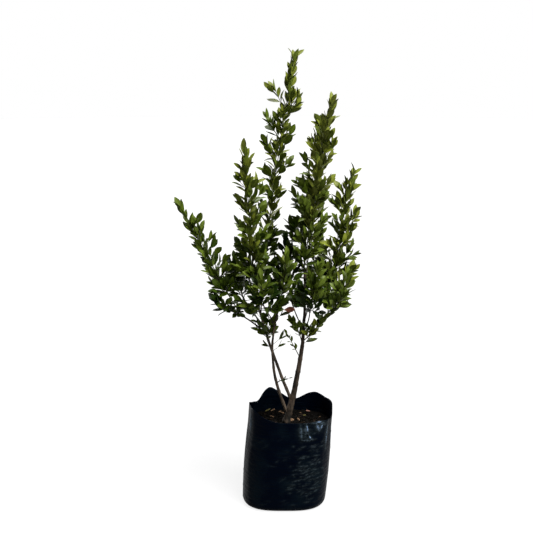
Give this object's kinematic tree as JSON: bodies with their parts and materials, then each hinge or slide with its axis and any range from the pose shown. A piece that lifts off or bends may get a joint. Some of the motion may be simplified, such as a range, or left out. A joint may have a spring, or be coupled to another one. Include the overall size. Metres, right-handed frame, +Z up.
{
  "type": "potted evergreen shrub",
  "caption": "Young three-stemmed evergreen shrub with upright leafy spires, in a soft black film planter bag of potting mix.",
  "frame": {"origin": "middle of the bag's flat underside, on the ground", "axes": "+Z up along the plant; -Y is the front, +X to the right as seen from the front"},
  "size_m": [0.4816, 0.345, 1.1526],
  "materials": {
    "black_film": "soft sheen, creased",
    "potting_mix": "loose and rough",
    "bark": "matt, finely furrowed",
    "foliage": "waxy leaves on green twigs"
  },
  "bodies": {
    "root": {"back_left": "foliage", "back_right": "foliage", "bag": "black_film", "bough_back_left": "bark", "bough_back_right": "bark", "bough_centre": "bark", "bough_far_left": "bark", "bough_front": "bark", "bough_left": "bark", "bough_left_shoulder": "bark", "bough_low_left": "bark", "bough_right": "bark", "bough_right_front": "bark", "bough_right_shoulder": "bark", "bough_tall": "bark", "bough_twin": "bark", "centre_back": "foliage", "centre_front": "foliage", "far_left_spire": "foliage", "far_right_spire": "foliage", "front_low": "foliage", "left_low": "foliage", "left_shoulder": "foliage", "left_spire": "foliage", "low_left_spray": "foliage", "low_right_spray": "foliage", "low_sprig": "foliage", "right_front": "foliage", "right_shoulder": "foliage", "right_spire": "foliage", "soil": "potting_mix", "stem_left": "bark", "stem_middle": "bark", "stem_spray": "foliage", "tall_spire": "foliage", "trunk": "bark", "trunk_shoot": "foliage", "twin_spire": "foliage"}
  },
  "joints": []
}
